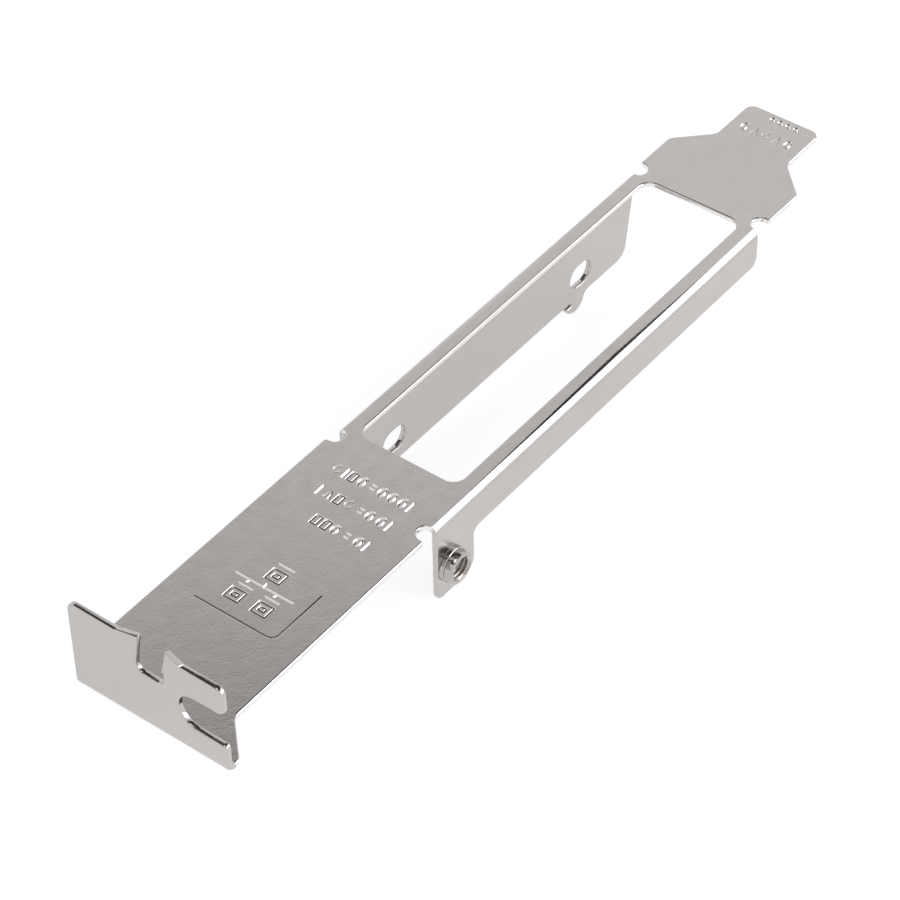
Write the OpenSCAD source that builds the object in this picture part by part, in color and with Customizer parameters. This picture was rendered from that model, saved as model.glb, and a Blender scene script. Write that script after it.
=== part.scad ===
// Full-height expansion slot cover bracket with one long port window, two
// down-turned flanges, a bent screw tab and a pressed-in threaded standoff.
// X runs along the length from the tab's seat towards the tongue, Z is the
// outward normal of the face plate, and Y = 0 is the middle of the body.
// X = 0 is the side of the tab that sits on the chassis ledge, Z = 0 is the
// outer side of the face plate.

/* [Sheet] */
// Thickness of the sheet
sheet_t = 0.8; // [0.7:0.05:1]
// Inner radius of every bend
bend_r = 0.4; // [0.3:0.05:0.6]

/* [Face plate] */
// Length from the tab's outer side to the tip of the tongue
overall_len = 120.02; // [118:0.01:124]
// Width of the body
body_w = 18.42; // [18:0.01:19]
// Width of the tongue
tongue_w = 10.19; // [9:0.01:11]
// Length of the tongue's straight sides
tongue_len = 7.27; // [6:0.01:8]
// Corner radius at the tongue's tip
tongue_r = 1.2; // [0.5:0.1:2]

/* [Port window] */
// Length of the window
window_len = 54.85; // [50:0.05:56]
// Width of the window
window_w = 13.6; // [12:0.1:14]
// From the window to the reliefs at the head
window_rest = 0.05; // [0:0.05:1]
// Corner radius of the window
window_r = 1.6; // [0.8:0.1:2.5]

/* [Bend reliefs] */
// Width of the round-ended reliefs at the flange ends
relief_w = 2.2; // [1.8:0.1:2.4]
// Depth of the reliefs from the body's edge
relief_d = 1.6; // [1.5:0.05:1.9]
// Length of the head between the far reliefs and the tapers
head_len = 6.0; // [4.5:0.1:7]

/* [Shallow flange] */
// Length of the shallow flange along the body
shallow_len = 61.5; // [58:0.1:62]
// Depth of the shallow flange below the outer face
shallow_d = 5.15; // [4.5:0.05:6]
// Corner radius at the shallow flange's far end
shallow_r = 1.2; // [0.5:0.1:1.8]
// Length of the ear at its near end
ear_len = 6.55; // [6:0.05:7.5]
// Depth of the ear below the outer face
ear_d = 11.05; // [10.5:0.05:12]
// Corner radius of the ear on its far side
ear_r = 2; // [0.5:0.1:2.5]
// Corner radius of the ear on its near side
ear_near_r = 0.8; // [0.3:0.1:1.5]
// Fillet between the ear and the flange
ear_fillet_r = 0.9; // [0.5:0.1:1.5]

/* [Deep flange] */
// Length of the deep flange along the body
deep_len = 55.3; // [54:0.1:57]
// Depth of the deep flange below the outer face
deep_d = 11.5; // [11:0.05:12.5]
// Slant of its far end, in degrees
deep_slant = 9.6; // [0:0.2:12]
// Corner radius at its far end
deep_r = 1.9; // [0.5:0.1:2.5]
// Corner radius at its near end
deep_near_r = 1; // [0.5:0.1:2]

/* [Adjusting slots] */
// Width of the two slots in the deep flange
slot_w = 3; // [2.8:0.1:3.4]
// End-to-end length of the slots
slot_len = 4; // [3.6:0.1:5]
// Distance between the slots
slot_pitch = 35.75; // [30:0.05:40]
// From the flange's far end to the far slot's centre
slot_end = 10.9; // [9:0.1:12]
// Depth of the slots' centres below the outer face
slot_depth = 8.2; // [7:0.1:8.8]

/* [Hook] */
// Radius of the half-round hook below the deep flange
hook_r = 1.9; // [1.7:0.05:2.3]
// From the far slot's centre back to the hook's centre
hook_offset = 1.03; // [0.5:0.01:3]
// Height of the undercut above the hook's toe
hook_gap = 0.5; // [0.4:0.05:0.7]
// From the undercut's end to the hook's centre
hook_root = 0.8; // [0.3:0.1:1.1]
// Fillet on the hook's far side
hook_fillet_r = 0.9; // [0.4:0.1:1.2]

/* [Screw tab] */
// Height of the tab above the outer face
tab_h = 11.43; // [11:0.01:12]
// Overhang of the tab past the body on the open side of the screw slot
tab_over = 4.11; // [3.5:0.01:4.5]
// Inset of the tab's other end from the body's edge
tab_inset = 2.26; // [1.5:0.01:3]
// Run of the tab's full width along the face plate
tab_run = 1.03; // [0.8:0.01:1.5]
// Corner radius at the tab's free corners
tab_r = 1; // [0.5:0.1:1.5]
// Corner radius where the tab's open end meets the 45 degree flare
flare_r = 1.5; // [0.3:0.1:1.5]

/* [Screw slot] */
// Width of the open screw slot
screw_w = 4.42; // [4.2:0.01:4.6]
// Depth of the slot's round end from the tab's edge
screw_in = 6.03; // [5.5:0.01:6.5]
// Height of the slot's centre above the outer face
screw_h = 5.5; // [5.3:0.05:6]
// Rounding of the upper corner at the slot's mouth
claw_r = 0.8; // [0.3:0.1:1]
// Rounding of the lower corner at the slot's mouth
lip_r = 0.5; // [0.3:0.1:0.8]

/* [Tab notch] */
// Width of the notch in the tab's free edge
notch_w = 3.55; // [3:0.05:4]
// Height of the notch's floor above the outer face
notch_floor = 7.2; // [7:0.1:8]
// Distance from the notch's middle to the open end of the tab
notch_from_end = 9.55; // [9.2:0.05:10]
// Corner radius at the notch's floor
notch_r = 0.8; // [0.4:0.1:1.4]
// Leg of the bent corners beside the notch
corner_leg = 2.5; // [2:0.1:3]
// Angle of the bent corners, in degrees
corner_angle = 21; // [10:1:30]

/* [Standoff] */
// Distance from the flange's near end to the standoff's axis
standoff_x = 2.3; // [2.2:0.05:3]
// Depth of the standoff's axis below the outer face
standoff_depth = 6.95; // [6:0.05:7.5]
// Diameter of the threaded barrel
barrel_d = 4.1; // [3.8:0.1:4.2]
// Diameter of the collar that seats on the ear
collar_d = 4.3; // [4.2:0.1:4.4]
// Height of the collar
collar_h = 0.6; // [0.4:0.05:0.8]
// Height of the standoff above the ear
standoff_h = 1.5; // [1.2:0.1:2.5]
// Chamfer at the barrel's rim
rim_chamfer = 0.25; // [0.1:0.05:0.35]
// Diameter of the clinched shank in the sheet
shank_d = 3.8; // [3.4:0.1:4]
// Minor diameter of the thread
thread_d = 2.5; // [2:0.1:2.6]
// Depth of the countersink at the thread's mouth
mouth_chamfer = 0.25; // [0.1:0.05:0.4]
// Radial room between the shank and its hole
shank_fit = 0.01; // [0:0.01:0.05]

/* [Hidden] */
$fn = 64;

bend_outer = bend_r + sheet_t;
half_w = body_w / 2;
tip_x = overall_len - sheet_t;
taper_x = tip_x - tongue_len;                     // tapers meet the tongue here
head_x = taper_x - (half_w - tongue_w / 2);       // 45 degree tapers start here
flange_x1 = head_x - head_len - relief_w;         // far end of both flanges
shallow_x0 = flange_x1 - shallow_len;
deep_x0 = flange_x1 - deep_len;
window_x1 = flange_x1 - window_rest;
window_x0 = window_x1 - window_len;
tab_y0 = -half_w - tab_over;                      // open end of the tab
tab_y1 = half_w - tab_inset;
far_slot_x = flange_x1 - slot_end;
hook_x = far_slot_x - hook_offset;
screw_y = tab_y0 + screw_in - screw_w / 2;
notch_y = tab_y0 + notch_from_end;
fold_mitre = sheet_t * tan(corner_angle / 2);      // mitre of the bent corners' folds
standoff_px = shallow_x0 + standoff_x;
cut = 1;                                          // overrun of cutting shapes
lap = 0.2;                                        // overlap of joined shapes

// Waste outside a rounded corner whose point is at the origin, material in +X +Y
module corner_waste(r) {
    difference() {
        translate([-cut, -cut]) square(r + cut);
        translate([r, r]) circle(r);
    }
}

// Fill of a concave corner whose point is at the origin, open in +X +Y
module corner_fill(r) {
    difference() {
        translate([-lap, -lap]) square(r + lap);
        translate([r, r]) circle(r);
    }
}

// Waste outside the rounded corner between the tab's open end and the flare
module flare_waste() {
    leg = flare_r * tan(22.5);
    difference() {
        polygon([
            [tab_run - leg, tab_y0 - cut], [tab_run + cut, tab_y0 - cut],
            [tab_run + leg * cos(45), tab_y0 + leg * sin(45)],
            [tab_run - leg, tab_y0 + leg * sin(45)]
        ]);
        translate([tab_run - leg, tab_y0 + flare_r]) circle(flare_r);
    }
}

module rounded_rect(len, wid, r) {
    translate([r, 0]) square([len - 2 * r, wid]);
    translate([0, r]) square([len, wid - 2 * r]);
    for (x = [r, len - r], y = [r, wid - r]) translate([x, y]) circle(r);
}

module obround(len, wid) {
    square([len - wid, wid], center = true);
    for (s = [-1, 1]) translate([s * (len - wid) / 2, 0]) circle(d = wid);
}

// Round-ended relief that starts at x0 and runs in from the edge on side s
module relief(x0, s) {
    r = relief_w / 2;
    inner_y = half_w - relief_d + r;
    translate([x0 + r, s * inner_y]) circle(r);
    translate([x0, s > 0 ? inner_y : -half_w - cut])
        square([relief_w, half_w - inner_y + cut]);
}

// Outline of the face plate up to the two flange bends
module plate_outline() {
    tongue_y = tongue_w / 2;
    difference() {
        polygon([
            [bend_r, tab_y0], [tab_run, tab_y0], [tab_run + tab_over, -half_w],
            [head_x, -half_w], [taper_x, -tongue_y], [tip_x, -tongue_y],
            [tip_x, tongue_y], [taper_x, tongue_y], [head_x, half_w],
            [tab_run + tab_inset, half_w], [tab_run, tab_y1], [bend_r, tab_y1]
        ]);
        flare_waste();
        for (s = [-1, 1])
            translate([tip_x, s * tongue_y]) scale([-1, -s]) corner_waste(tongue_r);
        translate([window_x0, -window_w / 2])
            rounded_rect(window_len, window_w, window_r);
        for (s = [-1, 1]) relief(flange_x1, s);
        relief(shallow_x0 - relief_w, -1);
        relief(deep_x0 - relief_w, 1);
        translate([shallow_x0, -half_w - cut])
            square([shallow_len, bend_outer + cut]);
        translate([deep_x0, half_w - bend_outer])
            square([deep_len, bend_outer + cut]);
    }
}

// Quarter ring of sheet in +X +Y, centred on the bend's axis
module bend_section() {
    difference() {
        circle(bend_outer);
        circle(bend_r);
        translate([-bend_outer - cut, -bend_outer - cut])
            square([bend_outer + cut, 2 * bend_outer + 2 * cut]);
        translate([-cut, -bend_outer - cut])
            square([bend_outer + 2 * cut, bend_outer + cut]);
    }
}

// Bend between the face plate and a flange on side s
module flange_bend(x0, len, s) {
    multmatrix([[0, 0, 1, x0],
                [s, 0, 0, s * (half_w - bend_outer)],
                [0, 1, 0, -bend_outer],
                [0, 0, 0, 1]])
        linear_extrude(len) bend_section();
}

// Stands an outline of length and depth up as the flange on side s
module flange_wall(s) {
    translate([0, s > 0 ? half_w : -half_w + sheet_t, 0])
        rotate([90, 0, 0]) linear_extrude(sheet_t) children();
}

// Straight part of the shallow flange, X along the body and Y upwards
module shallow_outline() {
    ear_x1 = shallow_x0 + ear_len;
    difference() {
        union() {
            translate([shallow_x0, -shallow_d])
                square([shallow_len, shallow_d - bend_outer]);
            translate([shallow_x0, -ear_d])
                square([ear_len, ear_d - bend_outer]);
            translate([ear_x1, -shallow_d]) scale([1, -1])
                corner_fill(ear_fillet_r);
        }
        translate([flange_x1, -shallow_d]) scale([-1, 1]) corner_waste(shallow_r);
        translate([ear_x1, -ear_d]) scale([-1, 1]) corner_waste(ear_r);
        translate([shallow_x0, -ear_d]) corner_waste(ear_near_r);
        translate([standoff_px, -standoff_depth])
            circle(d = shank_d + 2 * shank_fit);
    }
}

// Half-round hook below the deep flange, its undercut toe towards the tab
module hook_outline() {
    // centre of the fillet that touches the hook and the flange's lower edge
    fillet_x = hook_x + sqrt(pow(hook_r + hook_fillet_r, 2) - pow(hook_fillet_r, 2));
    difference() {
        translate([hook_x, -deep_d]) circle(hook_r);
        translate([hook_x - hook_r - cut, -deep_d])
            square([2 * (hook_r + cut), hook_r + cut]);
        translate([hook_x - hook_r - cut, -deep_d - hook_gap])
            square([hook_r + cut - hook_root, hook_gap + cut]);
    }
    translate([hook_x - hook_root, -deep_d - lap])
        square([hook_root + hook_r - lap, 2 * lap]);
    difference() {
        polygon([
            [hook_x, -deep_d], [hook_x, -deep_d + lap], [fillet_x, -deep_d + lap],
            [fillet_x, -deep_d - hook_fillet_r]
        ]);
        translate([fillet_x, -deep_d - hook_fillet_r]) circle(hook_fillet_r);
    }
}

// Straight part of the deep flange, X along the body and Y upwards
module deep_outline() {
    top = -bend_outer;
    slant = tan(deep_slant);
    // centre of the arc that touches the lower edge and the slanted end
    arc_y = -deep_d + deep_r;
    arc_x = flange_x1 + (arc_y - top) * slant - deep_r / cos(deep_slant);
    difference() {
        union() {
            polygon([
                [deep_x0, top], [deep_x0, -deep_d], [arc_x, -deep_d],
                [arc_x, arc_y],
                [arc_x + deep_r * cos(deep_slant), arc_y - deep_r * sin(deep_slant)],
                [flange_x1, top]
            ]);
            intersection() {
                translate([arc_x, arc_y]) circle(deep_r);
                translate([arc_x, -deep_d]) square(deep_r);
            }
            hook_outline();
        }
        translate([deep_x0, -deep_d]) corner_waste(deep_near_r);
        for (i = [0, 1])
            translate([far_slot_x - i * slot_pitch, -slot_depth])
                obround(slot_len, slot_w);
    }
}

// Flat part of the tab, X across the body and Y away from the face plate
module tab_outline() {
    mouth_h = screw_w / 2;
    difference() {
        translate([tab_y0, bend_r]) square([tab_y1 - tab_y0, tab_h - bend_r]);
        translate([tab_y1, tab_h]) scale([-1, -1]) corner_waste(tab_r);
        translate([tab_y0, tab_h]) scale([1, -1]) corner_waste(tab_r);
        // open screw slot and the two rounded corners of its mouth
        translate([screw_y, screw_h]) circle(d = screw_w);
        translate([tab_y0 - cut, screw_h - mouth_h])
            square([screw_y - tab_y0 + cut, screw_w]);
        translate([tab_y0, screw_h + mouth_h]) corner_waste(claw_r);
        translate([tab_y0, screw_h - mouth_h]) scale([1, -1]) corner_waste(lip_r);
        // locating notch in the free edge
        translate([notch_y - notch_w / 2, notch_floor])
            rounded_rect(notch_w, tab_h - notch_floor + notch_r + cut, notch_r);
        for (s = [-1, 1]) bent_corner_outline(s);
    }
}

// Triangle cut away beside the notch on side s, past the mitre of its fold
module bent_corner_outline(s) {
    wall = notch_y + s * notch_w / 2;
    leg = corner_leg - fold_mitre * sqrt(2);
    polygon([
        [wall, tab_h - leg], [wall + s * leg, tab_h],
        [wall + s * leg, tab_h + cut], [wall - s * cut, tab_h + cut],
        [wall - s * cut, tab_h - leg]
    ]);
}

// Stands a tab outline up behind the ledge side, from X = -sheet_t to 0
module tab_sheet() {
    multmatrix([[0, 0, 1, -sheet_t],
                [1, 0, 0, 0],
                [0, 1, 0, 0],
                [0, 0, 0, 1]])
        linear_extrude(sheet_t) children();
}

// Corner beside the notch, folded back about a 45 degree line on the ledge side
module bent_corner(s) {
    wall = notch_y + s * notch_w / 2;
    fold_len = corner_leg * sqrt(2);
    // fold frame: X along the fold, Y across the triangle, Z towards the ledge
    multmatrix([[0, 0, 1, 0],
                [s * cos(45), -s * cos(45), 0, wall],
                [sin(45), sin(45), 0, tab_h - corner_leg],
                [0, 0, 0, 1]])
        rotate([corner_angle, 0, 0])
            translate([0, 0, -sheet_t]) linear_extrude(sheet_t)
                polygon([
                    [0, -fold_mitre], [fold_len, -fold_mitre], [fold_len, 0],
                    [fold_len / 2, fold_len / 2], [0, 0]
                ]);
}

module bracket() {
    color("silver") {
        translate([0, 0, -sheet_t]) linear_extrude(sheet_t) plate_outline();
        flange_bend(shallow_x0, shallow_len, -1);
        flange_bend(deep_x0, deep_len, 1);
        flange_wall(-1) shallow_outline();
        flange_wall(1) deep_outline();
        // bend between the face plate and the tab
        multmatrix([[-1, 0, 0, bend_r],
                    [0, 0, 1, tab_y0],
                    [0, -1, 0, bend_r],
                    [0, 0, 0, 1]])
            linear_extrude(tab_y1 - tab_y0) bend_section();
        tab_sheet() tab_outline();
        for (s = [-1, 1]) bent_corner(s);
    }
}

// Turned standoff on the outer side of the ear, its shank clinched in the sheet
module standoff() {
    bore_r = thread_d / 2;
    barrel_r = barrel_d / 2;
    color("gainsboro")
        translate([standoff_px, -half_w, -standoff_depth])
            rotate([90, 0, 0]) rotate_extrude()
                polygon([
                    [bore_r, -sheet_t], [shank_d / 2, -sheet_t], [shank_d / 2, 0],
                    [collar_d / 2, 0], [collar_d / 2, collar_h],
                    [barrel_r, collar_h], [barrel_r, standoff_h - rim_chamfer],
                    [barrel_r - rim_chamfer, standoff_h],
                    [bore_r + mouth_chamfer, standoff_h],
                    [bore_r, standoff_h - mouth_chamfer]
                ]);
}

bracket();
standoff();
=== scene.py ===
"""Looks of a full-height expansion slot cover bracket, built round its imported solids."""

import logging
import math
from dataclasses import dataclass, field
from enum import Enum
from typing import ClassVar

import bmesh
import bpy
from mathutils import Matrix, Vector


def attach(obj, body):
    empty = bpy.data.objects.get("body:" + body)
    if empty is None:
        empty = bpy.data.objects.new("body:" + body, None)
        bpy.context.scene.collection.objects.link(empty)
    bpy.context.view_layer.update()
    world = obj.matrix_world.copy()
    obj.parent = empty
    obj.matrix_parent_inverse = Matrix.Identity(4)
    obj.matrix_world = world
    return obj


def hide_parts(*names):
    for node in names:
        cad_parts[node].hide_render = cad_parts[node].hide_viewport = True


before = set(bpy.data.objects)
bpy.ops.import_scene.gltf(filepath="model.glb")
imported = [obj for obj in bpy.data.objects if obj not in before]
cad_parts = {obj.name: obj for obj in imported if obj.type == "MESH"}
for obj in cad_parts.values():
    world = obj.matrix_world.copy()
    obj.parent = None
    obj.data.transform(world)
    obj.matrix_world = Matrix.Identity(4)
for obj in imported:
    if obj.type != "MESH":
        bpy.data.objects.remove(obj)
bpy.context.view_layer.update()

# one millimetre in metres, and the sheet's thickness in mm
MM = 0.001
SHEET = 0.8
# how close, in mm, a point has to lie to a place or a plane to count as on it
NEAR = 0.01
LOG = logging.getLogger("bracket")


# ---------------------------------------------------------------- node helpers


def new_tree(name: str, kind: str) -> bpy.types.NodeTree:
    """Makes an empty node tree.

    Args:
        name: the tree's name.
        kind: ShaderNodeTree or GeometryNodeTree.

    Returns:
        The new tree.
    """
    return bpy.data.node_groups.new(name, kind)


def add_socket(
    tree: bpy.types.NodeTree, name: str, kind: str, side: str, value: float | None = None
) -> str:
    """Adds one socket to a tree's interface.

    Args:
        tree: the node tree.
        name: the socket's label.
        kind: such as Float, Vector, Color, Geometry or Material.
        side: INPUT or OUTPUT.
        value: the default value, where it has one.

    Returns:
        The socket's identifier.
    """
    item = tree.interface.new_socket(name, in_out=side, socket_type=f"NodeSocket{kind}")
    if value is not None:
        item.default_value = value
    return item.identifier


def put(
    tree: bpy.types.NodeTree,
    kind: str,
    values: dict[str | int, object] | None = None,
    **props: object,
) -> bpy.types.Node:
    """Adds a node and fills its sockets.

    Args:
        tree: the node tree.
        kind: the node's type name.
        values: input name or index to a plain value, or to the output that feeds it.
        props: properties set on the node before its sockets.

    Returns:
        The new node.
    """
    node = tree.nodes.new(kind)
    for key, val in props.items():
        setattr(node, key, val)
    for key, val in (values or {}).items():
        if isinstance(val, bpy.types.NodeSocket):
            tree.links.new(val, node.inputs[key])
        else:
            node.inputs[key].default_value = val
    return node


def math_node(
    tree: bpy.types.NodeTree, op: str, a: object, b: object
) -> bpy.types.NodeSocket:
    """Adds one Math node.

    Args:
        tree: the node tree.
        op: the operation.
        a: first value or socket.
        b: second value or socket.

    Returns:
        The result socket.
    """
    return put(tree, "ShaderNodeMath", {0: a, 1: b}, operation=op).outputs[0]


def blend(
    tree: bpy.types.NodeTree, a: bpy.types.NodeSocket, b: bpy.types.NodeSocket, share: float
) -> bpy.types.NodeSocket:
    """Adds two values up, each by its share.

    Args:
        tree: the node tree.
        a: first socket.
        b: second socket.
        share: how much of the sum is a. The rest is b.

    Returns:
        The result socket.
    """
    first = math_node(tree, "MULTIPLY", a, share)
    return math_node(tree, "ADD", first, math_node(tree, "MULTIPLY", b, 1 - share))


# ------------------------------------------------------------- shared effects


class Effects:
    """Shader node groups that more than one finish uses, each built once."""

    # how high the wide mottle stands, where the fine grain is 1
    CLOUD_RISE = 1.6
    # the wide mottle's share in the gloss, next to the grain, and in the tone, next to the drift
    CLOUD_IN_GLOSS = 0.7
    CLOUD_IN_TONE = 0.35
    # each noise: its input, the input's default and the noise's detail
    NOISES = (
        ("Grain per metre", 4000.0, 2.0),
        ("Cloud per metre", 500.0, 3.0),
        ("Drift per metre", 35.0, 2.0),
    )
    NOISE_ROUGHNESS = 0.55
    _made: dict[str, bpy.types.NodeTree] = {}

    @classmethod
    def orange_peel(cls) -> bpy.types.NodeTree:
        """Fine mottle of a plated sheet: a height, and masks that vary its gloss and tone.

        Returns:
            The node group.
        """
        if "orange_peel" in cls._made:
            return cls._made["orange_peel"]
        tree = new_tree("orange_peel", "ShaderNodeTree")
        add_socket(tree, "Vector", "Vector", "INPUT")
        for name, value, _ in cls.NOISES:
            add_socket(tree, name, "Float", "INPUT", value)
        for name in ("Height", "Gloss", "Tone"):
            add_socket(tree, name, "Float", "OUTPUT")
        src = put(tree, "NodeGroupInput")
        grain, cloud, drift = (
            put(
                tree, "ShaderNodeTexNoise",
                {"Vector": src.outputs["Vector"], "Scale": src.outputs[name],
                 "Detail": detail, "Roughness": cls.NOISE_ROUGHNESS},
            ).outputs[0]
            for name, _, detail in cls.NOISES
        )
        made = {
            "Height": math_node(
                tree, "ADD", grain, math_node(tree, "MULTIPLY", cloud, cls.CLOUD_RISE)
            ),
            "Gloss": blend(tree, cloud, grain, cls.CLOUD_IN_GLOSS),
            "Tone": blend(tree, cloud, drift, cls.CLOUD_IN_TONE),
        }
        out = put(tree, "NodeGroupOutput")
        for name, value in made.items():
            tree.links.new(value, out.inputs[name])
        cls._made["orange_peel"] = tree
        return tree


# -------------------------------------------------------------------- finishes


@dataclass(frozen=True)
class Plating:
    """Bright plate on steel.

    rough and tone vary by their swings over the mottle. grain, cloud and drift are the sizes of
    the mottle, per metre. worked is the share of the roughness that is left where the face
    attribute "polish" is 1. bump is the strength of the relief, and bump_mm its height.
    """

    name: str
    color: tuple[float, float, float]
    rough: float
    rough_swing: float
    grain: float
    bump: float
    bump_mm: float
    tone_swing: float = 0.035
    cloud: float = 500.0
    drift: float = 35.0
    worked: float = 0.4

    # the part of the mottle's range that the gloss and the tone spread over
    GLOSS_SPAN: ClassVar[tuple[float, float]] = (0.3, 0.7)
    TONE_SPAN: ClassVar[tuple[float, float]] = (0.35, 0.65)

    def toned(self, share: float) -> tuple[float, float, float, float]:
        """Returns the colour times a share, with no channel above 1."""
        return (*(min(1.0, c * share) for c in self.color), 1.0)

    def material(self) -> bpy.types.Material:
        """Builds the material.

        Returns:
            The new material.
        """
        mat = bpy.data.materials.new(self.name)
        mat.use_nodes = True
        tree = mat.node_tree
        tree.nodes.clear()
        coord = put(tree, "ShaderNodeTexCoord")
        peel = put(tree, "ShaderNodeGroup", node_tree=Effects.orange_peel())
        tree.links.new(coord.outputs["Object"], peel.inputs["Vector"])
        peel.inputs["Grain per metre"].default_value = self.grain
        peel.inputs["Cloud per metre"].default_value = self.cloud
        peel.inputs["Drift per metre"].default_value = self.drift
        rough = put(
            tree, "ShaderNodeMapRange",
            {"Value": peel.outputs["Gloss"],
             "From Min": self.GLOSS_SPAN[0], "From Max": self.GLOSS_SPAN[1],
             "To Min": self.rough - self.rough_swing, "To Max": self.rough + self.rough_swing},
        )
        polish = put(tree, "ShaderNodeAttribute", attribute_name="polish")
        share = put(
            tree, "ShaderNodeMapRange",
            {"Value": polish.outputs["Fac"], "To Min": 1.0, "To Max": self.worked},
        )
        gloss = math_node(tree, "MULTIPLY", rough.outputs[0], share.outputs[0])
        spread = put(
            tree, "ShaderNodeMapRange",
            {"Value": peel.outputs["Tone"],
             "From Min": self.TONE_SPAN[0], "From Max": self.TONE_SPAN[1]},
        )
        tone = put(tree, "ShaderNodeMix", {0: spread.outputs[0]}, data_type="RGBA")
        # sockets 6 and 7 are the two colours, and output 2 is the mixed one
        tone.inputs[6].default_value = self.toned(1 - self.tone_swing)
        tone.inputs[7].default_value = self.toned(1 + self.tone_swing)
        bump = put(
            tree, "ShaderNodeBump",
            {"Height": peel.outputs["Height"], "Strength": self.bump,
             "Distance": self.bump_mm * MM},
        )
        shader = put(
            tree, "ShaderNodeBsdfPrincipled",
            {"Base Color": tone.outputs[2], "Metallic": 1.0, "Roughness": gloss,
             "Normal": bump.outputs[0]},
        )
        out = put(tree, "ShaderNodeOutputMaterial")
        tree.links.new(shader.outputs[0], out.inputs[0])
        return mat


PLATE = Plating(
    "bright_plate", (0.50, 0.478, 0.468),
    rough=0.2, rough_swing=0.06, grain=3300.0, bump=1.0, bump_mm=0.006,
)
# the pressed marks are lighter than the plate as a painted highlight on the strokes' flanks
PRESSED_HIGHLIGHT = Plating(
    "pressed_mark_painted_highlight", (0.66, 0.645, 0.635),
    rough=0.2, rough_swing=0.05, grain=3300.0, bump=0.5, bump_mm=0.003,
)
# the scribed line is darker than the plate as painted shade in its shallow groove
SCRIBED_SHADE = Plating(
    "scribed_line_painted_shade", (0.42, 0.40, 0.39),
    rough=0.3, rough_swing=0.05, grain=3300.0, bump=0.5, bump_mm=0.003,
)
CUT_FACE = Plating(
    "cut_face", (0.80, 0.785, 0.775),
    rough=0.42, rough_swing=0.1, grain=3500.0, bump=1.0, bump_mm=0.006,
)
# the bore is dark as painted shade deep in the hole; its slight brown tint is the thread's own
BORE_SHADE = Plating(
    "thread_flanks_painted_shade", (0.30, 0.27, 0.25),
    rough=0.25, rough_swing=0.06, grain=3000.0, bump=0.6, bump_mm=0.003,
)
TURNED = Plating(
    "turned_plate", (0.44, 0.42, 0.41),
    rough=0.09, rough_swing=0.03, grain=3000.0, bump=0.6, bump_mm=0.002,
)


# ---------------------------------------------------------------- mesh helpers


def scratch_object(mesh: bpy.types.Mesh) -> bpy.types.Object:
    """Links a mesh into the scene as a short-lived object.

    Args:
        mesh: the mesh it shows.

    Returns:
        The object.
    """
    obj = bpy.data.objects.new("scratch", mesh)
    bpy.context.scene.collection.objects.link(obj)
    return obj


def settle(obj: bpy.types.Object) -> bpy.types.Mesh:
    """Applies an object's modifiers and removes the object.

    Args:
        obj: a short-lived object with modifiers.

    Returns:
        The plain mesh that the modifiers make.
    """
    bpy.context.view_layer.update()
    graph = bpy.context.evaluated_depsgraph_get()
    mesh = bpy.data.meshes.new_from_object(obj.evaluated_get(graph), depsgraph=graph)
    bpy.data.objects.remove(obj)
    return mesh


def carve(body: bpy.types.Mesh, tool: bpy.types.Mesh) -> bpy.types.Mesh:
    """Cuts one closed mesh away from another.

    Args:
        body: the mesh to keep.
        tool: the mesh that is cut away.

    Returns:
        The new mesh.
    """
    base, other = scratch_object(body), scratch_object(tool)
    mod = base.modifiers.new("carve", "BOOLEAN")
    mod.object, mod.operation = other, "DIFFERENCE"
    mod.solver, mod.material_mode = "MANIFOLD", "TRANSFER"
    mesh = settle(base)
    bpy.data.objects.remove(other)
    return mesh


def crossing(p: Vector, q: Vector, r: Vector, s: Vector, edge: float = 1e-6) -> float | None:
    """Finds where two flat lines cross.

    Args:
        p: the first line's start.
        q: the first line's end.
        r: the second line's start.
        s: the second line's end.
        edge: the share of a line, at each end, in which a crossing doesn't count.

    Returns:
        How far along the first line they cross, from 0 to 1, or None where they don't.
    """
    det = (q.x - p.x) * (s.y - r.y) - (q.y - p.y) * (s.x - r.x)
    if abs(det) < edge * edge:
        return None
    t = ((r.x - p.x) * (s.y - r.y) - (r.y - p.y) * (s.x - r.x)) / det
    u = ((r.x - p.x) * (q.y - p.y) - (r.y - p.y) * (q.x - p.x)) / det
    return t if edge < t < 1 - edge and edge < u < 1 - edge else None


def loops_to_weld(
    bm: bmesh.types.BMesh, span: int
) -> list[tuple[list[bmesh.types.BMVert], Vector]]:
    """Finds where a face's outline crosses itself within a few corners.

    Args:
        bm: the mesh.
        span: how many corners apart the crossing sides may be.

    Returns:
        The corners of each small loop, and the point that they are welded at.
    """
    found, used = [], set()
    for face in bm.faces:
        count = len(face.verts)
        axis = max(range(3), key=lambda k: abs(face.normal[k]))
        u, v = (k for k in range(3) if k != axis)
        flat = [Vector((c.co[u], c.co[v])) for c in face.verts]
        for i in range(count):
            for step in range(2, min(span, count - 2)):
                j = (i + step) % count
                t = crossing(flat[i], flat[(i + 1) % count], flat[j], flat[(j + 1) % count])
                group = [face.verts[(i + 1 + m) % count] for m in range(step)]
                if t is None or used & set(group):
                    continue
                found.append((group, face.verts[i].co.lerp(face.verts[(i + 1) % count].co, t)))
                used |= set(group)
    return found


def untangle(mesh: bpy.types.Mesh, span: int = 14, passes: int = 8) -> bpy.types.Mesh:
    """Welds the small loops that wide rolled edges leave at tight corners.

    Args:
        mesh: a closed mesh in mm.
        span: how many corners a loop may have.
        passes: how often it looks again.

    Returns:
        The same mesh, with no face whose outline crosses itself.
    """
    for _ in range(passes):
        bm = bmesh.new()
        bm.from_mesh(mesh)
        found = loops_to_weld(bm, span)
        weld = {}
        for group, point in found:
            for vert in group:
                vert.co = point
                if vert is not group[0]:
                    weld[vert] = group[0]
        bmesh.ops.weld_verts(bm, targetmap=weld)
        bmesh.ops.dissolve_degenerate(bm, dist=0.0001, edges=bm.edges)
        bm.to_mesh(mesh)
        bm.free()
        if not found:
            break
    return mesh


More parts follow.
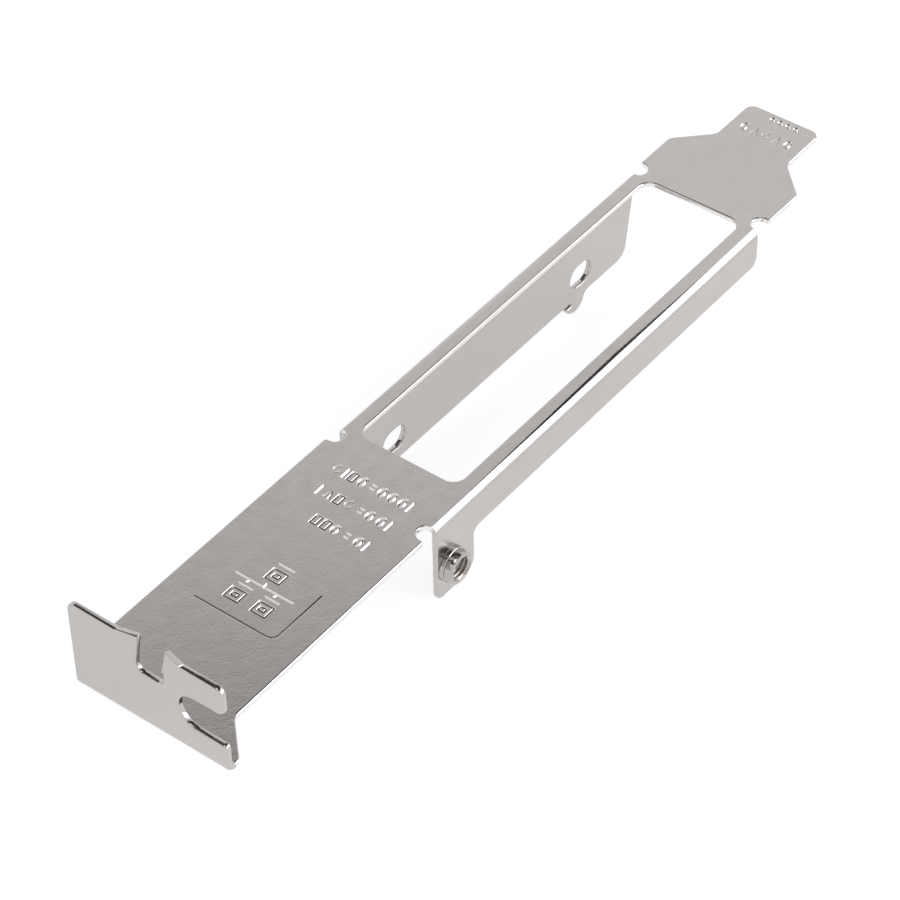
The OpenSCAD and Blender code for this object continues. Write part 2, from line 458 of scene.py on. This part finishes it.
def place_piece(mesh: bpy.types.Mesh, name: str, node: str) -> bpy.types.Object:
    """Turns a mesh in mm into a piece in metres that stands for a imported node.

    Args:
        mesh: the piece's mesh, in mm.
        name: the piece's name.
        node: the node that it replaces.

    Returns:
        The piece.
    """
    mesh.transform(Matrix.Scale(MM, 4))
    obj = bpy.data.objects.new(name, mesh)
    bpy.context.scene.collection.objects.link(obj)
    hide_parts(node)
    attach(obj, "root")
    return obj


# ----------------------------------------------------------------------- marks


@dataclass(frozen=True)
class Stroke:
    """One line of a mark, as points in the plane of the sheet."""

    points: tuple[tuple[float, float], ...]
    closed: bool = False


def oval(x: float, y: float, tall: float, wide: float, steps: int) -> Stroke:
    """Makes a closed oval of the given half sizes round a centre."""
    turn = [2 * math.pi * k / steps for k in range(steps)]
    return Stroke(tuple((x + tall * math.cos(t), y + wide * math.sin(t)) for t in turn), True)


def square(x0: float, x1: float, y0: float, y1: float) -> Stroke:
    """Makes a closed rectangle between two corners."""
    return Stroke(((x0, y0), (x1, y0), (x1, y1), (x0, y1)), True)


def bar(x0: float, y0: float, x1: float, y1: float) -> Stroke:
    """Makes a straight line."""
    return Stroke(((x0, y0), (x1, y1)))


class Glyph(Enum):
    """Plain figures that stand in a row of stamped marks."""

    BAR = "bar"
    OVAL = "oval"
    PAIR = "pair"
    LOZENGE = "lozenge"
    CHEVRON = "chevron"
    BOX = "box"

    def strokes(self, x: float, y: float) -> list[Stroke]:
        """Draws the figure.

        Args:
            x: its centre along the plate.
            y: its centre across the plate.

        Returns:
            Its strokes.
        """
        # half sizes of a figure, what a bar and a lozenge have beyond them, and a pair's half gap
        tall, wide, longer, wider, apart, steps = 0.66, 0.38, 0.15, 0.1, 0.3, 20
        x0, x1, y0, y1 = x - tall, x + tall, y - wide, y + wide
        if self is Glyph.BAR:
            return [bar(x0 - longer, y, x1 + longer, y)]
        if self is Glyph.OVAL:
            return [oval(x, y, tall, wide, steps)]
        if self is Glyph.PAIR:
            return [bar(x - apart, y0, x - apart, y1), bar(x + apart, y0, x + apart, y1)]
        if self is Glyph.LOZENGE:
            return [Stroke(((x0, y), (x, y0 - wider), (x1, y), (x, y1 + wider)), True)]
        if self is Glyph.CHEVRON:
            return [Stroke(((x0, y0), (x1, y), (x0, y1)))]
        return [square(x0, x1, y0, y1)]


@dataclass
class Marks:
    """Where the marks on the plate and the tongue stand, in mm.

    rows are the lines of the legend: each line's place along the plate, and its figures with
    their places across it. boxes, bases, link and taps draw the sign of three linked boxes.
    """

    rows: tuple[tuple[float, tuple[tuple[float, Glyph], ...]], ...] = (
        (39.1, (
            (-4.95, Glyph.BAR), (-3.9, Glyph.OVAL), (-2.5, Glyph.OVAL),
            (-1.15, Glyph.OVAL), (0.2, Glyph.PAIR), (1.6, Glyph.OVAL),
            (2.95, Glyph.BOX), (3.9, Glyph.BAR), (5.0, Glyph.LOZENGE),
        )),
        (35.5, (
            (-4.9, Glyph.BAR), (-3.8, Glyph.OVAL), (-2.3, Glyph.OVAL), (-1.0, Glyph.PAIR),
            (0.6, Glyph.LOZENGE), (2.0, Glyph.BOX), (3.3, Glyph.CHEVRON), (4.6, Glyph.BAR),
        )),
        (31.7, (
            (-4.83, Glyph.BAR), (-3.75, Glyph.OVAL), (-2.2, Glyph.PAIR),
            (-0.6, Glyph.OVAL), (0.7, Glyph.BOX), (2.0, Glyph.BOX),
        )),
    )
    boxes: tuple[tuple[float, float, float, float], ...] = (
        (17.3, 18.9, 0.88, 2.75), (17.3, 18.93, -2.8, -0.93), (21.87, 23.5, -0.95, 0.92),
    )
    box_inset: float = 0.55
    bases: tuple[tuple[float, float, float, float], ...] = (
        (19.6, 0.67, 19.6, 2.72), (19.65, -2.89, 19.65, -0.81), (24.2, -1.2, 24.2, 1.1),
    )
    link: tuple[float, float, float, float] = (20.6, 4.0, 20.6, -4.0)
    taps: tuple[tuple[float, float, float, float], ...] = (
        (20.15, 1.9, 20.6, 1.9), (20.15, -1.8, 20.6, -1.8), (21.3, 0.0, 20.6, 0.0),
    )
    # the frame line's two ends, and its round corner: centre and radius
    frame_ends: tuple[tuple[float, float], tuple[float, float]] = ((15.35, 5.1), (23.3, -5.7))
    frame_corner: tuple[float, float] = (16.35, -4.7)
    frame_radius: float = 1.0
    tongue_row: tuple[Glyph, ...] = (
        Glyph.OVAL, Glyph.CHEVRON, Glyph.LOZENGE, Glyph.CHEVRON, Glyph.OVAL,
    )
    tongue_x: float = 115.0
    tongue_pitch: float = 1.55
    # the small ovals near the tongue's end: place along and across, half sizes, corners
    pips_x: float = 118.1
    pips_y: tuple[float, ...] = (-2.3, -1.2, -0.1, 1.0)
    pip: tuple[float, float, int] = (0.34, 0.3, 12)

    def stamped(self) -> list[Stroke]:
        """Draws the legend and the sign.

        Returns:
            The strokes that are pressed into the plate.
        """
        out = [s for x, row in self.rows for y, glyph in row for s in glyph.strokes(x, y)]
        for x0, x1, y0, y1 in self.boxes:
            cut = self.box_inset
            out += [square(x0, x1, y0, y1), square(x0 + cut, x1 - cut, y0 + cut, y1 - cut)]
        return out + [bar(*ends) for ends in (*self.bases, self.link)]

    def tapped(self) -> list[Stroke]:
        """Returns the short strokes that meet the link line."""
        return [bar(*ends) for ends in self.taps]

    def frame_line(self) -> list[Stroke]:
        """Returns the faint line scribed round the boxes.

        Returns:
            One open stroke with a round corner.
        """
        (x, y), radius = self.frame_corner, self.frame_radius
        corner = [
            (x - radius * math.cos(math.radians(t)), y - radius * math.sin(math.radians(t)))
            for t in range(0, 91, 15)
        ]
        return [Stroke((self.frame_ends[0], *corner, self.frame_ends[1]))]

    def tongue(self) -> list[Stroke]:
        """Draws the marks near the tongue's end.

        Returns:
            The strokes that are pressed into the tongue.
        """
        middle = (len(self.tongue_row) - 1) / 2
        out = [
            stroke for k, glyph in enumerate(self.tongue_row)
            for stroke in glyph.strokes(self.tongue_x, self.tongue_pitch * (k - middle))
        ]
        return out + [oval(self.pips_x, y, *self.pip) for y in self.pips_y]


@dataclass
class StrokeTool:
    """Sweeps a section along strokes, with geometry nodes.

    The section is a ring of radius and sides, in mm. It is squashed in height and then raised.
    """

    radius: float
    rise: float
    squash: float = 1.0
    sides: int = 4
    inputs: dict[str, str] = field(default_factory=dict)

    def tree(self) -> bpy.types.NodeTree:
        """Builds the sweep's node tree.

        Returns:
            The tree, with the inputs Radius, Sides, Rise, Squash and Finish.
        """
        tree = new_tree("stroke_sweep", "GeometryNodeTree")
        add_socket(tree, "Path", "Geometry", "INPUT")
        self.inputs = {
            "Radius": add_socket(tree, "Radius", "Float", "INPUT", self.radius),
            "Sides": add_socket(tree, "Sides", "Int", "INPUT", self.sides),
            "Rise": add_socket(tree, "Rise", "Float", "INPUT", self.rise),
            "Squash": add_socket(tree, "Squash", "Float", "INPUT", self.squash),
            "Finish": add_socket(tree, "Finish", "Material", "INPUT"),
        }
        add_socket(tree, "Sweep", "Geometry", "OUTPUT")
        src = put(tree, "NodeGroupInput")
        curve = put(tree, "GeometryNodeMeshToCurve", {0: src.outputs["Path"]})
        ring = put(
            tree, "GeometryNodeCurvePrimitiveCircle",
            {"Resolution": src.outputs["Sides"], "Radius": src.outputs["Radius"]},
        )
        swept = put(
            tree, "GeometryNodeCurveToMesh",
            {"Curve": curve.outputs[0], "Profile Curve": ring.outputs[0], "Fill Caps": True},
        )
        lift = put(tree, "ShaderNodeCombineXYZ", {"Z": src.outputs["Rise"]})
        flat = put(tree, "ShaderNodeCombineXYZ", {"X": 1.0, "Y": 1.0, "Z": src.outputs["Squash"]})
        moved = put(
            tree, "GeometryNodeTransform",
            {"Geometry": swept.outputs[0], "Translation": lift.outputs[0],
             "Scale": flat.outputs[0]},
        )
        real = put(tree, "GeometryNodeRealizeInstances", {0: moved.outputs[0]})
        dressed = put(
            tree, "GeometryNodeSetMaterial",
            {"Geometry": real.outputs[0], "Material": src.outputs["Finish"]},
        )
        out = put(tree, "NodeGroupOutput")
        tree.links.new(dressed.outputs[0], out.inputs[0])
        return tree

    def sweep(self, strokes: list[Stroke], finish: bpy.types.Material) -> bpy.types.Mesh:
        """Sweeps the section along every stroke.

        Args:
            strokes: the lines to follow.
            finish: the material of the swept faces.

        Returns:
            A mesh in mm of closed tubes.
        """
        verts, edges = [], []
        for stroke in strokes:
            first = len(verts)
            verts += [(x, y, 0.0) for x, y in stroke.points]
            last = len(verts) - 1
            edges += [(k, k + 1) for k in range(first, last)]
            if stroke.closed:
                edges.append((last, first))
        mesh = bpy.data.meshes.new("strokes")
        mesh.from_pydata(verts, edges, [])
        obj = scratch_object(mesh)
        mod = obj.modifiers.new("sweep", "NODES")
        mod.node_group = self.tree()
        for name in ("Radius", "Sides", "Rise", "Squash"):
            mod[self.inputs[name]] = getattr(self, name.lower())
        mod[self.inputs["Finish"]] = finish
        swept = settle(obj)
        bm = bmesh.new()
        bm.from_mesh(swept)
        bmesh.ops.recalc_face_normals(bm, faces=bm.faces)
        bm.to_mesh(swept)
        bm.free()
        return swept


# --------------------------------------------------------------------- bracket


@dataclass
class Bracket:
    """The folded sheet: rolled edges, cut faces and stamped marks."""

    # how far the cut edges are rolled: the width at the front skin, and shares of it at the back
    # skin and at corners between cut faces
    roll: float = 0.28
    back_share: float = 0.7
    corner_share: float = 0.5
    roll_segments: int = 3
    # how far the outline's upright corners are rounded back: least turn, most turn, distance
    rounds: tuple[tuple[float, float, float], ...] = ((30.0, 60.0, 0.45), (60.0, 100.0, 0.36))
    round_segments: int = 4
    # in degrees: the turn that ends a skin, and those that stay sharp on the sheet and in marks
    fold_limit: float = 35.0
    crease: float = 38.0
    mark_crease: float = 25.0
    # in square mm: a face that is kept plane, a plane that is shaded flat, and a step too small
    # to roll
    plane_area: float = 20.0
    wide_area: float = 40.0
    least_area: float = 0.2
    # cut faces look bare only on the flat of the sheet, beyond the tab
    bare_x: float = 0.5
    bare_z: float = -0.81
    # in mm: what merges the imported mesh's corners, and how close to a parting is on it
    merge: float = 0.001
    on_parting: float = 0.005
    # the turn, in degrees, below which two of its faces are one
    same_plane: float = 0.5
    # planes that part each holed face: a point, the normal and the side of y = 0 (0 is both)
    partings: tuple[tuple[tuple[float, float, float], tuple[int, int, int], int], ...] = (
        ((72.16, 0.0, 0.0), (1, 0, 0), 0),
        ((0.0, 0.0, -8.2), (0, 0, 1), 1),
        ((0.0, 0.0, -6.95), (0, 0, 1), -1),
    )
    stamp: StrokeTool = field(default_factory=lambda: StrokeTool(0.21, 0.03))
    scribe: StrokeTool = field(default_factory=lambda: StrokeTool(0.15, 0.0, squash=0.2))
    small: StrokeTool = field(default_factory=lambda: StrokeTool(0.18, 0.03))
    skin: Plating = field(default_factory=lambda: PLATE)
    # the marks' finish is lighter than the skin as a painted highlight
    mark: Plating = field(default_factory=lambda: PRESSED_HIGHLIGHT)
    cut: Plating = field(default_factory=lambda: CUT_FACE)
    # the scribed line's finish is darker than the skin as painted shade
    line: Plating = field(default_factory=lambda: SCRIBED_SHADE)

    def regions(self, bm: bmesh.types.BMesh) -> tuple[list[int], list[float], int, int]:
        """Finds the sheet's two skins.

        Args:
            bm: the sheet, with its face indices up to date.

        Returns:
            Each face's region, the regions' areas, and the regions of the front and the back skin.
        """
        limit = math.radians(self.fold_limit)
        region = [-1] * len(bm.faces)
        areas: list[float] = []
        for seed in bm.faces:
            if region[seed.index] >= 0:
                continue
            todo, area = [seed], 0.0
            region[seed.index] = len(areas)
            while todo:
                face = todo.pop()
                area += face.calc_area()
                for edge in face.edges:
                    if len(edge.link_faces) != 2 or edge.calc_face_angle() > limit:
                        continue
                    for near in edge.link_faces:
                        if region[near.index] < 0:
                            region[near.index] = len(areas)
                            todo.append(near)
            areas.append(area)
        one, two = sorted(range(len(areas)), key=areas.__getitem__)[-2:]
        low = min(
            (f for f in bm.faces if region[f.index] in (one, two)),
            key=lambda f: f.calc_center_median().x,
        )
        front = region[low.index]
        return region, areas, front, two if front == one else one

    def sheet(self) -> bpy.types.Mesh:
        """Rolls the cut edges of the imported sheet.

        Returns:
            A mesh in mm, with material 0 on its skins and 1 on its cut faces.
        """
        bm = bmesh.new()
        bm.from_mesh(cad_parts["bracket"].data)
        bmesh.ops.scale(bm, vec=(1 / MM,) * 3, verts=bm.verts)
        bmesh.ops.remove_doubles(bm, verts=bm.verts, dist=self.merge)
        self.part(bm)
        bmesh.ops.dissolve_limit(
            bm, angle_limit=math.radians(self.same_plane), verts=bm.verts, edges=bm.edges,
            delimit={"SEAM"},
        )
        for low, high, back in self.rounds:
            corners = [
                e for e in bm.edges
                if self.upright(e) and low < math.degrees(e.calc_face_angle()) < high
            ]
            bmesh.ops.bevel(
                bm, geom=corners, offset=back, segments=self.round_segments, profile=0.5,
                affect="EDGES",
            )
        bm.faces.index_update()
        region, areas, front, back = self.regions(bm)
        weight = bm.edges.layers.float.new("bevel_weight_edge")
        limit = math.radians(self.fold_limit)
        for edge in bm.edges:
            if len(edge.link_faces) != 2 or not edge.is_convex or edge.calc_face_angle() < limit:
                continue
            sides = {region[f.index] for f in edge.link_faces}
            if min(areas[k] for k in sides) < self.least_area:
                continue
            if front in sides:
                edge[weight] = 1.0
            else:
                edge[weight] = self.back_share if back in sides else self.corner_share
        for face in bm.faces:
            place = face.calc_center_median()
            level = place.z > self.bare_z and place.x > self.bare_x
            bare = level and region[face.index] not in (front, back)
            face.material_index = 1 if bare else 0
        mesh = bpy.data.meshes.new("sheet")
        bm.to_mesh(mesh)
        bm.free()
        obj = scratch_object(mesh)
        mod = obj.modifiers.new("rolled_edges", "BEVEL")
        mod.limit_method, mod.width, mod.segments = "WEIGHT", self.roll, self.roll_segments
        mod.use_clamp_overlap = False
        return self.flatten(untangle(self.flatten(settle(obj))))

    def part(self, bm: bmesh.types.BMesh) -> None:
        """Cuts the holed faces along the partings and marks the cuts as seams.

        Args:
            bm: the sheet.
        """
        for point, normal, side in self.partings:
            geom = [
                g for g in (*bm.verts, *bm.edges, *bm.faces)
                if side == 0 or all(v.co.y * side > 0 for v in getattr(g, "verts", (g,)))
            ]
            cut = bmesh.ops.bisect_plane(
                bm, geom=geom, dist=self.on_parting, plane_co=point, plane_no=normal
            )
            for piece in cut["geom_cut"]:
                if isinstance(piece, bmesh.types.BMEdge):
                    piece.seam = True

    @staticmethod
    def upright(edge: bmesh.types.BMEdge) -> bool:
        """Says if an edge runs straight through the flat of the sheet.

        Args:
            edge: an edge of the sheet.

        Returns:
            True where it goes from one skin of the flat to the other.
        """
        a, b = (v.co for v in edge.verts)
        through = (a - b).xy.length < NEAR and abs(a.z + b.z + SHEET) < NEAR
        return len(edge.link_faces) == 2 and through

    def flatten(self, mesh: bpy.types.Mesh) -> bpy.types.Mesh:
        """Brings every point of a large plane face back into its plane.

        Args:
            mesh: the sheet with its edges rolled.

        Returns:
            The same mesh.
        """
        bm = bmesh.new()
        bm.from_mesh(mesh)
        for face in bm.faces:
            axis = max(range(3), key=lambda k: abs(face.normal[k]))
            if face.calc_area() < self.plane_area or abs(face.normal[axis]) < 1 - NEAR:
                continue
            level = sorted(v.co[axis] for v in face.verts)[len(face.verts) // 2]
            for vert in face.verts:
                vert.co[axis] = level
        bm.to_mesh(mesh)
        bm.free()
        return mesh

    def build(self) -> bpy.types.Object:
        """Builds the piece.

        Returns:
            The bracket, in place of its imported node.
        """
        mark, line = self.mark.material(), self.line.material()
        marks = Marks()
        mesh = self.sheet()
        mesh.materials.append(self.skin.material())
        mesh.materials.append(self.cut.material())
        for tool, strokes, finish in (
            (self.stamp, marks.stamped(), mark),
            (self.stamp, marks.tapped(), mark),
            (self.scribe, marks.frame_line(), line),
            (self.small, marks.tongue(), mark),
        ):
            mesh = carve(mesh, tool.sweep(strokes, finish))
        return place_piece(self.smooth(mesh), "bracket_sheet", "bracket")

    def smooth(self, mesh: bpy.types.Mesh) -> bpy.types.Mesh:
        """Shades planes flat, and rolls and folds smooth between them.

        Args:
            mesh: the finished sheet.

        Returns:
            The same mesh, with its own corner normals.
        """
        bm = bmesh.new()
        bm.from_mesh(mesh)
        bmesh.ops.remove_doubles(bm, verts=bm.verts, dist=self.merge / 2)
        bmesh.ops.triangulate(bm, faces=bm.faces)
        bm.faces.index_update()
        for face in bm.faces:
            face.smooth = True
        LOG.info("sheet: %d open edges", sum(len(e.link_faces) != 2 for e in bm.edges))
        normals = [face.normal.copy() for face in bm.faces]
        areas = [face.calc_area() for face in bm.faces]
        keys = [
            tuple(round(c, 2) for c in (*n, face.verts[0].co.dot(n)))
            for face, n in zip(bm.faces, normals)
        ]
        plane: dict[tuple[float, ...], float] = {}
        for key, area in zip(keys, areas):
            plane[key] = plane.get(key, 0.0) + area
        # materials 0 and 1 are the skins and the cut faces, and the rest are marks
        stamped = [face.material_index > 1 for face in bm.faces]
        wide = [plane[key] > self.wide_area and not mark for key, mark in zip(keys, stamped)]
        polish = bm.faces.layers.float.new("polish")
        for face in bm.faces:
            face[polish] = 0.0 if wide[face.index] else 1.0
        limits = [math.cos(math.radians(turn)) for turn in (self.crease, self.mark_crease)]
        corners = []
        for face in bm.faces:
            own, kind = normals[face.index], stamped[face.index]
            for loop in face.loops:
                near = [
                    g.index for g in loop.vert.link_faces
                    if stamped[g.index] == kind and normals[g.index].dot(own) > limits[kind]
                ]
                flat = [k for k in near if wide[k]]
                if wide[face.index]:
                    corners.append(own)
                elif flat:
                    corners.append(normals[max(flat, key=lambda k: normals[k].dot(own))])
                else:
                    total = sum((normals[k] * areas[k] for k in near), Vector())
                    corners.append(total.normalized() if total.length > 0 else own)
        bm.to_mesh(mesh)
        bm.free()
        mesh.normals_split_custom_set([tuple(n) for n in corners])
        return mesh


# -------------------------------------------------------------------- standoff


@dataclass
class Standoff:
    """The pressed-in threaded standoff, in mm.

    Its axis runs along y. x and z place the axis, and face is the ear's outer side.
    """

    x: float = 40.435
    z: float = -6.95
    face: float = -9.21
    tall: float = 1.5
    collar_r: float = 2.15
    collar_tall: float = 0.6
    barrel_r: float = 2.05
    rim: float = 0.25
    # how much of the rim's width and height its rounded middle point keeps
    rim_round: tuple[float, float] = (0.35, 0.3)
    lip: float = 0.06
    groove: float = 0.08
    shank_r: float = 1.89
    minor_r: float = 1.29
    major_r: float = 1.5
    pitch: float = 0.5
    mouth: float = 0.21
    # the thread's shape: how high its peak would stand, which 1 cuts flat, and its flanks' slope
    peak: float = 1.15
    flank: float = 2.6
    turns: int = 96
    steps: int = 78
    # the turn, in degrees, from which an edge is shaded sharp
    crease: float = 32.0
    finish: Plating = field(default_factory=lambda: TURNED)
    # the bore's finish is dark as painted shade inside the hole
    bore_shade: Plating = field(default_factory=lambda: BORE_SHADE)

    def outer(self) -> list[tuple[float, float]]:
        """Draws the outside profile.

        Returns:
            Radius and height above the ear, from back to front.
        """
        lip, groove, top = self.lip, self.groove, self.collar_tall
        out, up = self.rim_round
        return [
            (self.shank_r, -SHEET), (self.shank_r, 0.0),
            (self.collar_r - lip, 0.0), (self.collar_r, lip),
            (self.collar_r, top - lip - groove), (self.collar_r - lip, top - groove),
            (self.barrel_r - groove, top - groove / 2), (self.barrel_r - groove, top),
            (self.barrel_r, top + lip), (self.barrel_r, self.tall - self.rim),
            (self.barrel_r - self.rim * out, self.tall - self.rim * up),
            (self.barrel_r - self.rim, self.tall),
        ]

    def bore(self, angle: float, height: float) -> float:
        """Gives the threaded bore's radius.

        Args:
            angle: the angle round the axis, in radians.
            height: the height above the ear.

        Returns:
            The radius, with the chamfers of both mouths taken in.
        """
        phase = (height / self.pitch - angle / math.tau) % 1.0
        ridge = min(1.0, max(0.0, self.peak - self.flank * abs(phase - 0.5)))
        thread = self.major_r - (self.major_r - self.minor_r) * ridge
        depth = min(self.tall - height, height + SHEET)
        return max(thread, self.minor_r + self.mouth - depth)

    def rings(self) -> tuple[list[tuple[float, float, float]], list[tuple[int, ...]]]:
        """Turns the outside profile and the bore round the axis.

        Returns:
            The points and the faces.
        """
        outer = self.outer()
        rows = len(outer) + self.steps + 1
        verts: list[tuple[float, float, float]] = []
        faces: list[tuple[int, ...]] = []
        for k in range(self.turns):
            angle = math.tau * k / self.turns
            heights = [
                self.tall - (self.tall + SHEET) * j / self.steps for j in range(self.steps + 1)
            ]
            verts += [
                (self.x + r * math.cos(angle), self.face - h, self.z + r * math.sin(angle))
                for r, h in (*outer, *((self.bore(angle, h), h) for h in heights))
            ]
            a, b = k * rows, (k + 1) % self.turns * rows
            faces += [
                (a + j, a + (j + 1) % rows, b + (j + 1) % rows, b + j) for j in range(rows)
            ]
        return verts, faces

    def build(self) -> bpy.types.Object:
        """Builds the piece.

        Returns:
            The standoff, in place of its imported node.
        """
        verts, faces = self.rings()
        mesh = bpy.data.meshes.new("standoff")
        mesh.from_pydata(verts, [], faces)
        bm = bmesh.new()
        bm.from_mesh(mesh)
        bmesh.ops.recalc_face_normals(bm, faces=bm.faces)
        for edge in bm.edges:
            edge.smooth = edge.calc_face_angle(0.0) < math.radians(self.crease)
        # the threaded faces beyond both mouths take the bore's painted shade
        front = self.face - self.tall + self.mouth
        back = self.face + SHEET - self.mouth
        for face in bm.faces:
            face.smooth = True
            place = face.calc_center_median()
            out = math.hypot(place.x - self.x, place.z - self.z)
            threaded = out < self.major_r + NEAR and front < place.y < back
            face.material_index = 1 if threaded else 0
        bm.to_mesh(mesh)
        bm.free()
        mesh.materials.append(self.finish.material())
        mesh.materials.append(self.bore_shade.material())
        return place_piece(mesh, "threaded_standoff", "standoff")


# ---------------------------------------------------------------------- studio


@dataclass
class Studio:
    """Pale floor, soft lamps, a graded surround and the camera."""

    # three points of the part that touch the floor, in mm
    rests: tuple[tuple[float, float, float], ...] = (
        (87.7, 8.81, -13.4), (40.5, -8.81, -11.05), (45.3, 8.81, -11.5),
    )
    # the camera: lens and sensor in mm, angles in degrees, aim and distance in mm
    lens: float = 131.42088
    sensor: float = 36.0
    azimuth: float = -51.624
    elevation: float = 43.519
    roll: float = -1.255
    target: tuple[float, float, float] = (48.827, -3.133, 0.0)
    distance: float = 357.117
    shift: tuple[float, float] = (-0.00271, 0.00009)
    clip: tuple[float, float] = (0.01, 50.0)
    # the floor: radius in metres, how much light it scatters, and how bright it glows when seen
    floor_radius: float = 6.0
    floor_sides: int = 96
    paper_tone: float = 0.42
    paper_glow: float = 0.74
    # the surround: the sine of the height over the horizon, and how bright it is there
    stops: tuple[tuple[float, float], ...] = (
        (0.0, 0.667), (0.5, 0.667), (0.61, 0.73), (0.68, 0.65), (0.735, 0.54),
        (0.765, 0.08), (0.80, 0.015), (0.93, 0.1), (1.0, 0.2),
    )
    strength: float = 1.5
    # soft lamps, in metres: name, place, width and height, and how bright the face looks
    lamps: tuple[tuple[str, tuple[float, float, float], tuple[float, float], float], ...] = (
        ("side_box", (0.55, -0.85, 0.35), (0.9, 0.6), 2.5),
        ("top_box", (-0.25, -0.2, 1.1), (0.5, 0.5), 2.0),
    )
    lamp_aim: tuple[float, float, float] = (0.05, 0.0, 0.0)

    def camera(self) -> bpy.types.Object:
        """Makes the camera.

        Returns:
            The camera, set as the scene's own.
        """
        a, e, r = (math.radians(v) for v in (self.azimuth, self.elevation, self.roll))
        back = Vector((math.sin(a) * math.cos(e), -math.cos(a) * math.cos(e), math.sin(e)))
        right = Vector((math.cos(a), math.sin(a), 0.0))
        up = back.cross(right)
        right, up = (
            math.cos(r) * right + math.sin(r) * up, math.cos(r) * up - math.sin(r) * right
        )
        place = Vector(self.target) + self.distance * back
        data = bpy.data.cameras.new("camera")
        data.sensor_width, data.lens = self.sensor, self.lens
        data.shift_x, data.shift_y = self.shift
        data.clip_start, data.clip_end = self.clip
        cam = bpy.data.objects.new("camera", data)
        axes = Matrix((right, up, back)).transposed().to_4x4()
        cam.matrix_world = Matrix.Translation(place * MM) @ axes
        bpy.context.scene.collection.objects.link(cam)
        bpy.context.scene.camera = cam
        return cam

    def floor(self) -> bpy.types.Object:
        """Makes the floor through the three resting points.

        Returns:
            The floor.
        """
        p = [Vector(v) * MM for v in self.rests]
        normal = (p[1] - p[0]).cross(p[2] - p[0]).normalized()
        if normal.z < 0:
            normal.negate()
        mesh = bpy.data.meshes.new("floor")
        bm = bmesh.new()
        bmesh.ops.create_circle(
            bm, cap_ends=True, segments=self.floor_sides, radius=self.floor_radius
        )
        turn = normal.to_track_quat("Z", "Y").to_matrix().to_4x4()
        bmesh.ops.transform(bm, matrix=Matrix.Translation(p[0]) @ turn, verts=bm.verts)
        bm.to_mesh(mesh)
        bm.free()
        obj = bpy.data.objects.new("floor", mesh)
        bpy.context.scene.collection.objects.link(obj)
        mesh.materials.append(self.paper())
        return obj

    def paper(self) -> bpy.types.Material:
        """Makes white paper that keeps shadows and looks white to the camera and to gloss.

        Returns:
            The material.
        """
        mat = bpy.data.materials.new("floor_paper")
        mat.use_nodes = True
        tree = mat.node_tree
        tree.nodes.clear()
        path = put(tree, "ShaderNodeLightPath")
        seen = math_node(
            tree, "MAXIMUM", path.outputs["Is Camera Ray"],
            math_node(
                tree, "MAXIMUM", path.outputs["Is Glossy Ray"],
                path.outputs["Is Transmission Ray"],
            ),
        )
        tone = (*(self.paper_tone,) * 3, 1.0)
        plain = put(tree, "ShaderNodeBsdfDiffuse", {"Color": tone})
        glow = put(
            tree, "ShaderNodeEmission", {"Color": (1, 1, 1, 1), "Strength": self.paper_glow}
        )
        both = put(tree, "ShaderNodeAddShader", {0: plain.outputs[0], 1: glow.outputs[0]})
        mix = put(
            tree, "ShaderNodeMixShader", {0: seen, 1: plain.outputs[0], 2: both.outputs[0]}
        )
        out = put(tree, "ShaderNodeOutputMaterial")
        tree.links.new(mix.outputs[0], out.inputs[0])
        return mat

    def lamp(
        self,
        name: str,
        place: tuple[float, float, float],
        size: tuple[float, float],
        radiance: float,
    ) -> bpy.types.Object:
        """Makes one rectangular soft lamp that faces the part.

        Args:
            name: the lamp's name.
            place: its centre, in metres.
            size: its width and height, in metres.
            radiance: how bright its face looks, where 1 is white.

        Returns:
            The lamp.
        """
        data = bpy.data.lights.new(name, "AREA")
        data.shape = "RECTANGLE"
        data.size, data.size_y = size
        data.energy = radiance * math.pi * size[0] * size[1]
        lamp = bpy.data.objects.new(name, data)
        turn = (Vector(place) - Vector(self.lamp_aim)).to_track_quat("Z", "Y")
        lamp.matrix_world = Matrix.Translation(place) @ turn.to_matrix().to_4x4()
        lamp.visible_camera = False
        bpy.context.scene.collection.objects.link(lamp)
        return lamp

    def world(self) -> None:
        """Grades the surround: bright at the horizon, darkest between 50 and 60 degrees up."""
        world = bpy.data.worlds.new("surround")
        bpy.context.scene.world = world
        world.use_nodes = True
        tree = world.node_tree
        tree.nodes.clear()
        coord = put(tree, "ShaderNodeTexCoord")
        split = put(tree, "ShaderNodeSeparateXYZ", {0: coord.outputs["Generated"]})
        ramp = put(tree, "ShaderNodeValToRGB", {0: split.outputs[2]})
        for height, _ in self.stops[1:-1]:
            ramp.color_ramp.elements.new(height)
        for elem, (height, value) in zip(ramp.color_ramp.elements, self.stops):
            elem.position = height
            elem.color = (value, value, value, 1.0)
        back = put(
            tree, "ShaderNodeBackground", {"Color": ramp.outputs[0], "Strength": self.strength}
        )
        out = put(tree, "ShaderNodeOutputWorld")
        tree.links.new(back.outputs[0], out.inputs[0])

    def build(self) -> None:
        """Makes the camera, the floor, the surround and the lamps."""
        bpy.context.scene.view_settings.view_transform = "Standard"
        self.camera()
        self.floor()
        self.world()
        for lamp in self.lamps:
            self.lamp(*lamp)


def main() -> None:
    """Builds the studio and each piece."""
    Studio().build()
    for part in (Bracket(), Standoff()):
        obj = part.build()
        LOG.info("%s: %d faces", obj.name, len(obj.data.polygons))


if __name__ == "__main__":
    logging.basicConfig(level=logging.INFO, format="%(name)s: %(message)s")
    main()
